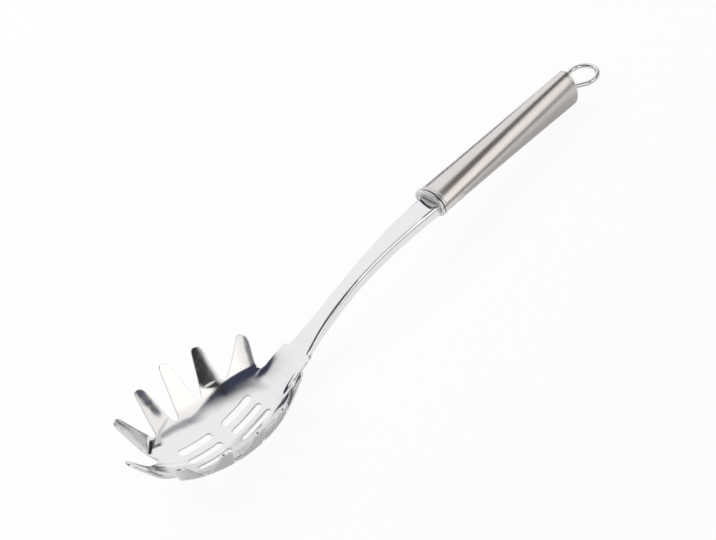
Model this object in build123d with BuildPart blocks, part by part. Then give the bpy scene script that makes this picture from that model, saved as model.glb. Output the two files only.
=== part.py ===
from build123d import *
from math import acos, asin, atan, atan2, cos, degrees, hypot, pi, radians, sin, sqrt, tan
import os

# Pasta server of stainless steel. Lengths are in millimetres and angles in degrees.
# It lies as on a table: the handle points along +X, and the bowl and the handle's rear touch Z = 0.
# The rim frame is the same object seen with its rim level: X to the handle, Z up out of the bowl,
# and its origin over the deepest point of the bowl, in the plane of the valleys between the tines.

# Sheet that the head is pressed from
sheet = 1.2

# Bowl, measured on its inside: a hollow floor, and a wall that leans out from its foot
bowl_depth = 9.8
floor_front_run = 33.6
floor_half_width = 24.4
foot_front_run = 36.8
foot_half_width = 25.0
foot_rear_run = 40.5
wall_angle = 60.0
wall_height = 28.0
hollow_shares = (0.16, 0.36, 0.56, 0.78, 1.0, 1.2, 1.45, 1.75, 2.1)

# Ramp and shank, along the middle of the top face
ramp_angle = 24.0
ramp_start = 32.0
ramp_end = 59.0
shank_level = 145.0
tang_end = 178.0
tang_half = 4.4
tang_run = 14.0
shank_waist = 88.0
shank_waist_half = 3.7
shank_front_half = 4.6
shank_rear_half = 6.1
bend_radius = 1.9
bend_angle = 84.0
skirt_run = 6.0
fold_start = 51.0
fold_run = 6.0
neck_start = 40.0
neck_half = 10.2
neck_flare = 8.0
crease_start = 44.0
crease_run = 16.0
neck_steps = 10
shank_steps = 5
tang_steps = 3

# Tines, from the one at the front to the last on one side
tine_count = 11
tine_pitch = 16.1
tine_place_shares = (0.0, 1.12, 1.99, 2.99, 3.95, 5.01)
tine_reach = 12.0
tine_reach_shares = (0.98, 1.0, 0.98, 1.0, 0.87, 0.79)
tine_headings = (180.0, 131.0, 91.0, 80.5, 68.0, 31.5)
tine_root_half = 5.4
tine_tip_half = 2.3
tine_tip_radius = 2.2
valley_radius = 2.0

# Slots in the floor of the bowl
slot_length = 19.4
slot_width = 4.3
slot_pitch = 7.4
slot_bridge = 6.6
slot_shift = 1.6
slot_rows = 3

# Handle
grip_start = 150.0
grip_length = 104.3
shank_rise = 1.4
grip_angle = 1.5
grip_front_half_width = 9.9
grip_front_half_height = 6.9
grip_rear_half_width = 6.5
grip_rear_half_height = 10.8
tube_wall = 1.0
fit_gap = 0.15
seat_gap = 0.3

# Ferrule at the handle's front
bead_width = 1.5
bead_rise = 0.35
bead_gap = 0.5
bead_round_share = 0.46
ferrule_recess = 1.2
ferrule_plate = 1.0

# Cap at the handle's rear
cap_thickness = 1.6
cap_round = 1.1
cap_spigot = 5.0

# Hanging loop of round wire
wire_diameter = 2.2
loop_radius = 8.1
loop_reach = 12.2
loop_leg_half = 3.2
loop_leg_bend = 3.0
loop_leg_angle = 38.0
loop_tail = 4.0

# Amount by which every cutting body passes what it cuts
overrun = 2.0

# Step in height over which the slope of the floor is taken, as a share of the depth and at least
step_share = 0.1
step_floor = 0.01


# Middle line of the bowl, the ramp and the shank in the rim frame, made of tangent runs
ramp = radians(ramp_angle)
grip_tilt = radians(grip_angle)
ferrule_length = 2 * bead_width + bead_gap
tang_start = grip_start + ferrule_length
hollow_radius = ramp_start / sin(ramp)
arch_radius = (shank_level - ramp_end) / (sin(ramp) - sin(grip_tilt))
ramp_foot = hollow_radius * (1 - cos(ramp)) - bowl_depth
ramp_top = ramp_foot + (ramp_end - ramp_start) * tan(ramp)
shank_top = ramp_top + arch_radius * (cos(grip_tilt) - cos(ramp))


def middle_height(x):
    """Height of the middle line: a parabola, an arc, a straight ramp, an arc and a straight tang."""
    if x < 0:
        return bowl_depth * ((x / floor_front_run) ** 2 - 1)
    if x < ramp_start:
        return hollow_radius - sqrt(hollow_radius**2 - x**2) - bowl_depth
    if x < ramp_end:
        return ramp_foot + (x - ramp_start) * tan(ramp)
    if x < shank_level:
        lean = sin(ramp) - (x - ramp_end) / arch_radius
        return ramp_top + arch_radius * (sqrt(1 - lean**2) - cos(ramp))
    return shank_top + (x - shank_level) * tan(grip_tilt)


def ease(value, start, run):
    """Smooth step from 0 at the start to 1 after the run."""
    t = min(max((value - start) / run, 0), 1)
    return t * t * (3 - 2 * t)


def middle_run(z):
    """Distance behind the origin at which the middle line of the floor and ramp has a height."""
    if z < ramp_foot:
        return sqrt(hollow_radius**2 - (hollow_radius - bowl_depth - z) ** 2)
    return ramp_start + (z - ramp_foot) / tan(ramp)


def hollow_oval(z):
    """Front run, rear run and half width of the bowl's hollow floor at a height."""
    rise = sqrt(1 + z / bowl_depth)
    return floor_front_run * rise, middle_run(z), floor_half_width * rise


def sunk_oval(z, depth):
    """The same three lengths and the height for the oval that lies a depth below the floor."""
    step = depth * step_share + step_floor
    here = hollow_oval(z)
    above = hollow_oval(z + step)
    slopes = [atan2(step, above[i] - here[i]) for i in range(3)]
    drop = depth * cos(slopes[2])
    front, rear, half_width = [here[i] + (depth / cos(slopes[i]) - drop) / tan(slopes[i]) for i in range(3)]
    return front, rear, half_width, z - drop


def floor_height(x, y):
    """Height of the bowl's hollow floor behind the origin, found by halving."""
    low = -bowl_depth
    high = wall_height
    for i in range(40):
        z = (low + high) / 2
        front, rear, half_width = hollow_oval(z)
        reach = (rear - front) / 2 + (rear + front) / 2 * sqrt(max(1 - (y / half_width) ** 2, 0))
        if reach < x:
            low = z
        else:
            high = z
    return (low + high) / 2


def shank_half(x):
    """Half width of the shank's top face, which is slimmest at the waist."""
    if x < shank_waist:
        share = ((shank_waist - max(x, ramp_end)) / (shank_waist - ramp_end)) ** 2
        return shank_waist_half + (shank_front_half - shank_waist_half) * share
    if x < tang_start:
        share = ease(x, shank_waist, tang_start - shank_waist)
        return shank_waist_half + (shank_rear_half - shank_waist_half) * share
    return shank_rear_half + (tang_half - shank_rear_half) * ease(x, tang_start, tang_run)


def neck_points(x, depth):
    """Points across the neck, shank or tang at x, at a depth of 0 or the sheet below its face."""
    flat = shank_half(x) - bend_radius * sin(radians(bend_angle) / 2)
    bend = bend_radius * radians(bend_angle)
    half = flat + skirt_run
    if x < fold_start:
        half = neck_half + (half - neck_half) * ease(x, neck_start, fold_start - neck_start)
        flat = half - skirt_run
    fold = radians(bend_angle) * ease(x, fold_start, fold_run)
    crease = 1 - ease(x, crease_start, crease_run)
    upright = depth * hypot(middle_height(x + sheet) - middle_height(x), sheet) / sheet
    points = []
    for run in (0, flat / 2, flat, flat + bend / 2, flat + bend, (flat + bend + half) / 2, half):
        turn = min(max(run - flat, 0) / bend_radius, fold)
        straight = max(run - flat, 0) - turn * bend_radius
        height = middle_height(x) + crease * (floor_height(neck_start, run) - floor_height(neck_start, 0))
        height = height - bend_radius * (1 - cos(turn)) - straight * sin(turn)
        across = min(run, flat) + bend_radius * sin(turn) + straight * cos(turn)
        points.append((across - depth * sin(turn), height - upright * cos(turn)))
    return [(-across, height) for across, height in reversed(points[1:])] + points


# Middle of the handle's front, which hangs a little below the shank's top face
grip_front_height = middle_height(grip_start) - shank_rise

# Where the head and the handle touch the table, and the place of the rim frame above it
grip_rear = grip_start + grip_length * cos(grip_tilt)
grip_rear_height = grip_front_height + grip_length * sin(grip_tilt)
heel_x = grip_rear + grip_rear_half_height * sin(grip_tilt)
heel_z = grip_rear_height - grip_rear_half_height * cos(grip_tilt)
hollow_centre = hollow_radius - bowl_depth
belly_radius = hollow_radius + sheet
pitch = asin(belly_radius / hypot(heel_x, hollow_centre - heel_z)) - atan((hollow_centre - heel_z) / heel_x)

# Length of the object on the table, which sets the origin under the middle of its box
rim_height = tine_reach * tan(radians(wall_angle))
front_reach = foot_front_run + tine_reach * tine_reach_shares[0]
loop_end = grip_rear + loop_reach + loop_radius + wire_diameter / 2
front_end = rim_height * sin(pitch) - front_reach * cos(pitch)
rear_end = loop_end * cos(pitch) + grip_rear_height * sin(pitch)
middle = (front_end + rear_end) / 2
rim_level = belly_radius - hollow_centre * cos(pitch)
rim_forward = hollow_centre * sin(pitch)
rim = Plane(
    origin=(-middle, 0, rim_level),
    x_dir=(cos(pitch), 0, -sin(pitch)),
    z_dir=(sin(pitch), 0, cos(pitch)),
)


def rim_point(x, y, z):
    """Point of the object from its place in the rim frame."""
    return rim.from_local_coords(Vector(x, y, z))


# Foot line of one side in plan, from the front round to the neck, for placing the tines
foot_centre = (foot_rear_run - foot_front_run) / 2
foot_half_run = (foot_rear_run + foot_front_run) / 2
with BuildLine() as foot_line:
    EllipticalCenterArc((foot_centre, 0), foot_half_run, foot_half_width, 180, arc_size=-180)


def tine_edges(number):
    """The two straight edges of a tine in plan, each as its root and its tip."""
    place = tine_pitch * tine_place_shares[number]
    root = foot_line.edge().position_at(place, position_mode=PositionMode.LENGTH)
    heading = radians(tine_headings[number])
    reach = tine_reach * tine_reach_shares[number]
    out = Vector(cos(heading), sin(heading))
    side = Vector(sin(heading), -cos(heading))
    front = (root - side * tine_root_half, root - side * tine_tip_half + out * reach)
    rear = (root + side * tine_root_half, root + side * tine_tip_half + out * reach)
    return front, rear


def crossing(edge, other):
    """Point where the lines of two edges in plan cross."""
    along = edge[1] - edge[0]
    across = other[1] - other[0]
    gap = other[0] - edge[0]
    share = (gap.X * across.Y - gap.Y * across.X) / (along.X * across.Y - along.Y * across.X)
    return edge[0] + along * share


# Corners of one half of the bowl in plan, each with the radius that rounds it
side_tines = tine_count // 2
edges = [tine_edges(number) for number in range(side_tines + 1)]
neck_edge = (Vector(0, neck_half + neck_start * tan(radians(neck_flare))), Vector(neck_start, neck_half))
corners = [(edges[0][1][1], tine_tip_radius)]
for number in range(side_tines):
    corners.append((crossing(edges[number][1], edges[number + 1][0]), valley_radius))
    corners.append((edges[number + 1][0][1], tine_tip_radius))
    corners.append((edges[number + 1][1][1], tine_tip_radius))
corners.append((crossing(edges[-1][1], neck_edge), valley_radius))
corners.append((neck_edge[1], 0))
outline = corners + [(Vector(point.X, -point.Y), radius) for point, radius in reversed(corners)]


def bowl_space(depth, top):
    """Solid of the space inside the bowl up to a height, or of all down to a depth below its inside."""
    with BuildPart() as space:
        for level in (-bowl_depth - 2 * overrun, top):
            lean = level / tan(radians(wall_angle)) + depth / sin(radians(wall_angle))
            with BuildSketch(rim.offset(level)):
                with Locations((foot_centre, 0)):
                    Ellipse(foot_half_run + lean, foot_half_width + lean, rotation=180)
        loft()
        with BuildSketch(rim.offset(-bowl_depth - 2 * overrun)):
            with Locations((neck_start, 0)):
                Rectangle(neck_start, 2 * neck_half + 2 * depth + overrun)
        extrude(amount=bowl_depth + 2 * overrun + top)
        for share in hollow_shares:
            front, rear, half_width, level = sunk_oval(bowl_depth * (share**2 - 1), depth)
            with BuildSketch(rim.offset(level)):
                with Locations(((rear - front) / 2, 0)):
                    Ellipse((rear + front) / 2, half_width, rotation=180)
        loft(mode=Mode.INTERSECT)
    return space.part


# Head: one pressed sheet, with the tines cut out of the bowl's wall and the slots out of its floor
with BuildPart() as tined_head:
    add(bowl_space(sheet, wall_height))
    add(bowl_space(0, wall_height + overrun), mode=Mode.SUBTRACT)
    with BuildSketch(rim.offset(-bowl_depth - overrun)):
        with BuildLine(rim.offset(-bowl_depth - overrun)):
            FilletPolyline(
                [point for point, radius in outline],
                radius=[radius for point, radius in outline],
                close=True,
            )
        make_face()
        with Locations((slot_shift, 0)):
            with GridLocations(slot_length + slot_bridge, slot_pitch, 2, slot_rows):
                SlotOverall(slot_length, slot_width, mode=Mode.SUBTRACT)
    extrude(amount=bowl_depth + wall_height + 2 * overrun, mode=Mode.INTERSECT)
    sections = [tined_head.faces().sort_by(Axis(rim.origin, rim.x_dir))[-1]]
    stations = [neck_start + (ramp_end - neck_start) * i / neck_steps for i in range(1, neck_steps)]
    stations = stations + [ramp_end + (tang_start - ramp_end) * i / shank_steps for i in range(shank_steps)]
    stations = stations + [tang_start + (tang_end - tang_start) * i / tang_steps for i in range(tang_steps + 1)]
    for x in stations:
        upper = neck_points(x, 0)
        lower = neck_points(x, sheet)
        across = Plane(origin=rim_point(x, 0, 0), x_dir=(0, 1, 0), z_dir=rim.x_dir)
        with BuildSketch(across, mode=Mode.PRIVATE) as section:
            with BuildLine():
                Spline(upper)
                Line(upper[-1], lower[-1])
                Spline(lower)
                Line(lower[0], upper[0])
            make_face()
        sections.append(section.sketch.face())
    loft(sections)


def grip_plane(run):
    """Plane square to the handle at a run from its front face, X to the left and Y up."""
    across = Vector(0, 1, 0)
    along = rim.z_dir * sin(grip_tilt) + rim.x_dir * cos(grip_tilt)
    return Plane(origin=rim_point(grip_start, 0, grip_front_height) + along * run, x_dir=across, z_dir=along)


def grip_half(run, inset=0):
    """Half width and half height of the handle's oval at a run, less an inset."""
    share = run / grip_length
    half_width = grip_front_half_width + (grip_rear_half_width - grip_front_half_width) * share
    half_height = grip_front_half_height + (grip_rear_half_height - grip_front_half_height) * share
    return half_width - inset, half_height - inset


# Handle tube: a round tube pressed flat at the front and upright at the rear
tube_end = grip_length - cap_thickness
with BuildPart() as handle_tube:
    for run in (ferrule_length, tube_end):
        with BuildSketch(grip_plane(run)):
            Ellipse(*grip_half(run))
    loft(ruled=True)
    for run in (ferrule_length, tube_end):
        with BuildSketch(grip_plane(run)):
            Ellipse(*grip_half(run, tube_wall))
    loft(ruled=True, mode=Mode.SUBTRACT)

# Ferrule: two beads round the handle's front, with a recessed plate that the shank passes through
slot_half = shank_rear_half - bend_radius * sin(radians(bend_angle) / 2) + bend_radius
slot_half = slot_half + (skirt_run - bend_radius * radians(bend_angle)) * cos(radians(bend_angle)) + seat_gap
slot_top = middle_height(tang_start) - grip_front_height - ferrule_length * sin(grip_tilt) + seat_gap
slot_height = skirt_run + 2 * seat_gap
with BuildPart() as front_ferrule:
    for run in (0, ferrule_length - bead_width):
        with BuildSketch(grip_plane(run)):
            Ellipse(*grip_half(run, -bead_rise))
        extrude(amount=bead_width)
    fillet(front_ferrule.edges(), bead_width * bead_round_share)
    with BuildSketch(grip_plane(bead_width / 2)):
        Ellipse(*grip_half(bead_width, bead_width / 2))
    extrude(amount=ferrule_length - bead_width)
    with BuildSketch(grip_plane(0)):
        Ellipse(*grip_half(0, bead_width))
    extrude(amount=ferrule_recess, mode=Mode.SUBTRACT)
    with BuildSketch(grip_plane(ferrule_recess + ferrule_plate)):
        Ellipse(*grip_half(0, bead_width))
    extrude(amount=ferrule_length, mode=Mode.SUBTRACT)
    with BuildSketch(grip_plane(0)):
        with Locations((0, slot_top - slot_height / 2)):
            RectangleRounded(2 * slot_half, slot_height, bend_radius)
    extrude(amount=ferrule_length, mode=Mode.SUBTRACT)

# Cap: a rounded oval lid on the tube's rear, with a plug inside the tube and two holes for the loop
with BuildPart() as rear_cap:
    with BuildSketch(grip_plane(tube_end)):
        Ellipse(*grip_half(tube_end))
    extrude(amount=cap_thickness)
    fillet(rear_cap.faces().sort_by(Axis(grip_plane(0).origin, grip_plane(0).z_dir))[-1].edges(), cap_round)
    with BuildSketch(grip_plane(tube_end)):
        Ellipse(
            grip_half(tube_end, tube_wall + fit_gap)[0],
            grip_half(tube_end - cap_spigot, tube_wall + fit_gap)[1],
        )
    extrude(amount=-cap_spigot)
    with BuildSketch(grip_plane(grip_length)):
        with GridLocations(2 * loop_leg_half, 0, 2, 1):
            Circle(wire_diameter / 2 + fit_gap)
    extrude(amount=-(cap_thickness + cap_spigot + overrun), mode=Mode.SUBTRACT)

# Hanging loop: one wire, bent to an open ring whose two legs go through the cap
rear = grip_plane(grip_length)
loop_plane = Plane(origin=rear.origin, x_dir=rear.z_dir, z_dir=rear.y_dir)
leg_start = -(cap_thickness + cap_spigot + loop_tail)
leg_angle = radians(loop_leg_angle)
touch = (loop_reach - loop_radius * sin(leg_angle), loop_radius * cos(leg_angle))
leg_corner = touch[0] - (touch[1] - loop_leg_half) / tan(leg_angle)
with BuildPart() as hanging_loop:
    with BuildLine(loop_plane):
        FilletPolyline((leg_start, loop_leg_half), (leg_corner, loop_leg_half), touch, radius=loop_leg_bend)
        CenterArc((loop_reach, 0), loop_radius, 90 + loop_leg_angle, -2 * (90 + loop_leg_angle))
        FilletPolyline(
            (touch[0], -touch[1]),
            (leg_corner, -loop_leg_half),
            (leg_start, -loop_leg_half),
            radius=loop_leg_bend,
        )
    with BuildSketch(Plane(origin=loop_plane.from_local_coords((leg_start, loop_leg_half)), z_dir=loop_plane.x_dir)):
        Circle(wire_diameter / 2)
    sweep()

pieces = {
    "tined_head": tined_head,
    "handle_tube": handle_tube,
    "front_ferrule": front_ferrule,
    "rear_cap": rear_cap,
    "hanging_loop": hanging_loop,
}
os.makedirs("parts", exist_ok=True)
for name, piece in pieces.items():
    piece.part.label = name
    export_step(piece.part, f"parts/{name}.step")
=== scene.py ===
"""Pasta server of stainless steel: polished head, collar, brushed tube handle, cap and loop."""

from math import asin, atan, cos, hypot, pi, radians, sin, tan

import bpy
import numpy as np
from bpy.props import (
    FloatProperty,
    FloatVectorProperty,
    IntProperty,
    PointerProperty,
    StringProperty,
)
from mathutils import Matrix, Vector
from mathutils.geometry import delaunay_2d_cdt


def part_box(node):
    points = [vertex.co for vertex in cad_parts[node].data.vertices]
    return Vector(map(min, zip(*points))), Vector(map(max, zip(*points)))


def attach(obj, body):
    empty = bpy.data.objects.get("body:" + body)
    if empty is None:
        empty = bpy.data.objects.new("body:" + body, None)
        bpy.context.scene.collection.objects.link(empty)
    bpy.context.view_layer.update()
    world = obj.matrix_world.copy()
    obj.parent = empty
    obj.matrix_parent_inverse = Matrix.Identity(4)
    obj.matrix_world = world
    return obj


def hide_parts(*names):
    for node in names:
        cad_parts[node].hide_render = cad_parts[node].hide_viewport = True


bl_info = {
    "name": "Pasta server",
    "version": (1, 0, 0),
    "blender": (4, 5, 0),
    "location": "3D View > Sidebar > Pasta server",
    "description": "Builds a polished pasta server round its packed frame",
    "category": "Add Mesh",
}

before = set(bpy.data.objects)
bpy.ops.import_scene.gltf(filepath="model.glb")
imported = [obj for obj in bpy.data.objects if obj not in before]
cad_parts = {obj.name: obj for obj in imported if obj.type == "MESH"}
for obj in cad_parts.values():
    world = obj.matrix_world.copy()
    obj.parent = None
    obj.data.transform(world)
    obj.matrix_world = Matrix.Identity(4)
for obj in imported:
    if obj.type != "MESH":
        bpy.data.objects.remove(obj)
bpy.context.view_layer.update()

MM = 0.001

# The bowl in mm, in its own frame: x towards the handle, z = 0 at the foot of its wall
BOWL_DEPTH = 9.8
FLOOR_FRONT_RUN = 33.6
FLOOR_HALF_WIDTH = 24.4
FOOT_FRONT_RUN = 36.8
FOOT_HALF_WIDTH = 25.0
FOOT_REAR_RUN = 40.5
WALL_ANGLE = radians(60.0)
WALL_TOP = 40.0
WALL_FADE_RUN = 4.0

# The ramp behind the bowl and the channel shank, slimmest at its waist
RAMP_ANGLE = radians(24.0)
RAMP_START = 32.0
RAMP_END = 59.0
SHANK_LEVEL = 145.0
TANG_START = 153.5
TANG_END = 178.0
TANG_HALF = 4.4
TANG_RUN = 14.0
TANG_ROUND = 1.0
WAIST = 88.0
WAIST_HALF = 3.7
FRONT_HALF = 4.6
REAR_HALF = 6.1
FLARE_END = 76.0
FLARE_HALF = 2.2

# The sheet's folded edges, which open out flat towards the neck
BEND_RADIUS = 1.9
BEND_ANGLE = radians(84.0)
SKIRT_RUN = 6.0
FOLD_START = 51.0
FOLD_RUN = 6.0

# The neck, where the ramp leaves the bowl, and the curl of the sheet on both its sides
NECK_START = 40.0
NECK_HALF = 9.8
NECK_FLARE = radians(8.0)
NECK_MARGIN = 0.6
NECK_FADE = 3.0
NECK_VALLEY = 3.4
NECK_ROWS = 70
JOIN_LEAD = 1.0
JOIN_RUN = 8.0
CURL_START = 6.6
CURL_END = 10.0
CURL_LIMIT = 1.2
CURL_RISE = 0.72
CURL_FADE = 38.0
CURL_RUN = 12.0
CREASE_START = 44.0
CREASE_RUN = 16.0

# The tines, from the front one to the last on one side
TINE_PLACES = 16.1 * np.array([0.0, 1.12, 1.99, 2.99, 3.95, 5.03])
TINE_REACH = 12.0 * np.array([0.95, 1.0, 0.95, 0.96, 0.87, 0.79])
TINE_HEADINGS = np.radians([180.0, 131.0, 91.0, 80.5, 68.0, 31.5])
TINE_ROOT_HALF = 5.4 * np.array([1.0, 1.0, 1.0, 1.0, 1.0, 1.1])
TINE_TIP_HALF = 2.3

# The slots in the floor, in rows of two
SLOT_SHIFT = 1.6
SLOT_BRIDGE = 6.6
SLOT_ROWS = (-1, 0, 1)

# The handle, a lying oval at the front and an upright one at the rear: half widths, half heights
GRIP_START = 150.0
GRIP_LENGTH = 105.5
GRIP_TILT = radians(1.5)
GRIP_FRONT = np.array([9.9, 6.9])
GRIP_REAR = np.array([6.5, 10.8])
SHANK_RISE = 1.4
TUBE_WALL = 1.0
TUBE_LIP = 0.25

# The collar: its two beads, the rows of faces in the grooves beside them, which carry painted
# shade, and its slotted plate
COLLAR_LENGTH = 3.5
BEAD_POINTS = 13
PAINTED_SHADE_GROOVE_ROWS = (11, 12, 13, 24, 25)
PLATE_THICKNESS = 1.0
PLATE_BEVEL = 0.3
PLATE_SLOT_DROP = 3.2
PLATE_SLOT_MARGIN = 0.9
PLATE_SLOT_HALF = 3.6
PLATE_SLOT_POWER = 5

# The cap, its seam against the tube, and the wire loop with its two legs
CAP_THICKNESS = 1.6
CAP_SEAM = 0.2
CAP_SEAM_DEPTH = 0.1
CAP_RIM = 3.0
CAP_EDGE_END = 8
CAP_FLAT_START = 0.6
CAP_FLAT_END = 0.02
LOOP_REACH = 11.0
LOOP_LEG_HALF = 3.2
LOOP_LEG_BEND = 3.0
LOOP_LEG_ANGLE = radians(38.0)
LOOP_TAIL = 8.0

# The solid's loop, whose rear end says where the object lies on the table
SOLID_LOOP_RADIUS = 8.1
SOLID_WIRE_RADIUS = 1.1

# How finely the sheet is divided: points over the bowl, rows across the shank, cells at edges
FIELD_HALF = 44.0
FIELD_FRONT = -52.0
FIELD_OVERLAP = 2.0
STRIP_LEAD = 2.6
STRIP_STEP = 1.2
FLAT_SHARES = (0.2, 0.4, 0.6, 0.8, 0.94)
BEND_SHARES = (0, 0.16, 0.33, 0.5, 0.67, 0.84, 1.0)
SKIRT_SHARES = (0.25, 0.5, 0.75)
EDGE_CELL_SHARE = 0.8
EDGE_GAP_SHARE = 0.42
EDGE_STEPS = 7
HALVINGS = 46
NORMAL_STEP = 0.03

# Ripples of sheet and trim, haze of plate and grooves, the painted shade of the grooves, and the
# range of values of a noise
SHEET_RIPPLE = 0.25
TRIM_RIPPLE = 0.04
NOISE_LIMITS = {"From Min": 0.3, "From Max": 0.7}
PLATE_ROUGHNESS = 0.45
GROOVE_ROUGHNESS = 0.4
GROOVE_PAINTED_SHADE = "#716E6B"

# The room as polished steel sees it. Each part has a facing direction, and where its soft edge
# starts and ends along it.
ROOM_PARTS = {
    "panel": ((0.572, 0.523, 0.632), 0.45, 0.73),
    "table": ((-0.261, 0.799, 0.541), 0.085, 0.0),
    "horizon": ((0.0, 0.0, 1.0), 0.44, 0.34),
    "frame outside": ((0.572, 0.523, 0.632), 0.55, 0.63),
    "frame inside": ((0.572, 0.523, 0.632), 0.75, 0.67),
    "frame side": ((0.985, -0.174, 0.0), 0.35, 0.60),
    "column right": ((-0.991, -0.130, 0.032), -0.01, 0.02),
    "column left": ((0.982, -0.174, -0.073), -0.04, 0.06),
    "near": ((0.0, -1.0, 0.0), 0.10, 0.30),
    "foot": ((0.0, 0.0, 1.0), 0.10, 0.16),
    "left side": ((-0.643, 0.766, 0.0), -0.01, 0.05),
    "window edge": ((0.704, -0.704, 0.091), 0.9974, 0.9990),
    "opening": ((0.037, -0.838, 0.545), 0.9955, 0.9982),
    "softbox": ((0.0, -0.906, 0.423), 0.70, 0.90),
}

# How the parts join, step by step: a name for the result, an operation, and what it works on
ROOM_STEPS = (
    ("frame", "MULTIPLY", ("frame outside", "frame inside", "frame side", 0.62)),
    ("lit opening", "MULTIPLY", ("opening", 0.6)),
    ("closed", "SUBTRACT", (1.0, "lit opening")),
    ("column", "MULTIPLY", ("column right", "column left", "near", "foot", "closed")),
    ("left card", "MULTIPLY", ("left side", "near", "foot", 0.8)),
    ("window bar", "MULTIPLY", ("window edge", 0.97)),
    ("dark", "MAXIMUM", ("frame", "column", "left card", "window bar")),
    ("uncovered", "SUBTRACT", (1.0, "dark")),
    ("bright", "MAXIMUM", ("panel", "table", "horizon")),
    ("white", "MULTIPLY", ("bright", "uncovered")),
    ("boost", "MULTIPLY", ("softbox", "reflected", 0.24)),
    ("strength", "ADD", (1.0, "boost")),
)
CARD_SHADES = ("#3B4051", "#30302E")
WHITE_SHADES = ("#FFFDF9", "#FEFEFF")
AMBIENT = 0.5

# Cards that only reflections show: name, colour and four corners in mm
CARDS = (
    ("black card", "#6A6562", ((85, -70, 125), (255, -70, 125), (255, 12, 135), (85, 12, 135))),
    ("side card", "#2A2A2C", ((270, -100, 50), (290, 70, 60), (290, 70, 120), (270, -100, 170))),
    ("low card", "#4C4A48", ((0, -125, 0), (300, -125, 0), (300, -125, 13), (0, -125, 13))),
    (
        "flat card",
        "#A6A3A1",
        ((-20, -140, 0.6), (300, -140, 0.6), (300, -45, 0.6), (-20, -45, 0.6)),
    ),
    ("white card", "#D9D9D9", ((0, -110, 90), (55, -110, 90), (55, 0, 90), (0, 0, 90))),
    ("strip card", "#F4F4F4", ((-60, -44, 0.6), (60, -44, 0.6), (60, -12, 0.6), (-60, -12, 0.6))),
    ("far card", "#242426", ((120, 200, 0), (220, 200, 0), (220, 200, 60), (120, 200, 60))),
)

# The paper on the table, the lamp and the camera's sensor, with places and sizes in m
FLOOR_HALF = 4.0
PAPER_COLOUR = "#F4F4F4"
PAPER_GLOW = (("Is Camera Ray", 0.93), ("Is Glossy Ray", 0.12))
LAMP_PLACE = (-0.10, 0.66, 0.74)
LAMP_SIZE = 0.5
LAMP_BRIGHTNESS = 0.5
SENSOR_MM = 36.0

# Worked out from the sizes above: the middle line, which is an arc, a straight ramp, an arc and a
# straight tang, and the ends of the handle
HOLLOW_RADIUS = RAMP_START / sin(RAMP_ANGLE)
RAMP_FOOT = HOLLOW_RADIUS * (1 - cos(RAMP_ANGLE)) - BOWL_DEPTH
RAMP_TOP = RAMP_FOOT + (RAMP_END - RAMP_START) * tan(RAMP_ANGLE)
ARCH_RADIUS = (SHANK_LEVEL - RAMP_END) / (sin(RAMP_ANGLE) - sin(GRIP_TILT))
SHANK_TOP = RAMP_TOP + ARCH_RADIUS * (cos(GRIP_TILT) - cos(RAMP_ANGLE))
GRIP_FRONT_HEIGHT = SHANK_TOP + (GRIP_START - SHANK_LEVEL) * tan(GRIP_TILT) - SHANK_RISE
GRIP_REAR_X = GRIP_START + GRIP_LENGTH * cos(GRIP_TILT)
GRIP_REAR_Z = GRIP_FRONT_HEIGHT + GRIP_LENGTH * sin(GRIP_TILT)
GRIP_ALONG = np.array([cos(GRIP_TILT), 0, sin(GRIP_TILT)])
GRIP_UP = np.array([-sin(GRIP_TILT), 0, cos(GRIP_TILT)])
GRIP_ACROSS = np.array([0, 1, 0])
GRIP_FOOT = np.array([GRIP_START, 0, GRIP_FRONT_HEIGHT])


def ease(value):
    """Smooth step: 0 below 0, 1 above 1 and 3 t squared less 2 t cubed between."""
    t = np.clip(value, 0, 1)
    return t * t * (3 - 2 * t)


def unit(vectors):
    """The vectors at length 1."""
    return vectors / np.maximum(np.linalg.norm(vectors, axis=-1, keepdims=True), 1e-12)


def middle_height(x):
    """Height of the sheet's middle line: parabola, arc, straight ramp, arc and straight tang."""
    front = BOWL_DEPTH * ((x / FLOOR_FRONT_RUN) ** 2 - 1)
    hollow = HOLLOW_RADIUS - np.sqrt(HOLLOW_RADIUS**2 - np.clip(x, 0, RAMP_START) ** 2) - BOWL_DEPTH
    slope = RAMP_FOOT + (x - RAMP_START) * tan(RAMP_ANGLE)
    lean = sin(RAMP_ANGLE) - (np.clip(x, RAMP_END, SHANK_LEVEL) - RAMP_END) / ARCH_RADIUS
    arch = RAMP_TOP + ARCH_RADIUS * (np.sqrt(1 - lean**2) - cos(RAMP_ANGLE))
    level = SHANK_TOP + (x - SHANK_LEVEL) * tan(GRIP_TILT)
    places = [x < 0, x < RAMP_START, x < RAMP_END, x < SHANK_LEVEL]
    return np.select(places, [front, hollow, slope, arch], level)


def middle_run(z):
    """Distance behind the origin at which the middle line reaches a height.

    On the arc it is the root of the squared radius less the squared height below the centre.
    """
    arc = np.sqrt(np.maximum(HOLLOW_RADIUS**2 - (HOLLOW_RADIUS - BOWL_DEPTH - z) ** 2, 0))
    return np.where(z < RAMP_FOOT, arc, RAMP_START + (z - RAMP_FOOT) / tan(RAMP_ANGLE))


def floor_oval(z):
    """Front run, rear run and half width of the hollow floor's oval at a height.

    Front and width grow with the root of the height above the lowest point, as parabolas do.
    """
    rise = np.sqrt(np.maximum(1 + z / BOWL_DEPTH, 1e-12))
    return FLOOR_FRONT_RUN * rise, np.maximum(middle_run(z), 1e-6), FLOOR_HALF_WIDTH * rise


def wall_oval(z):
    """The same for the wall, an oval cone that leans out by the same amount all round."""
    lean = z / tan(WALL_ANGLE)
    return FOOT_FRONT_RUN + lean, FOOT_REAR_RUN + lean, FOOT_HALF_WIDTH + lean


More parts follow.
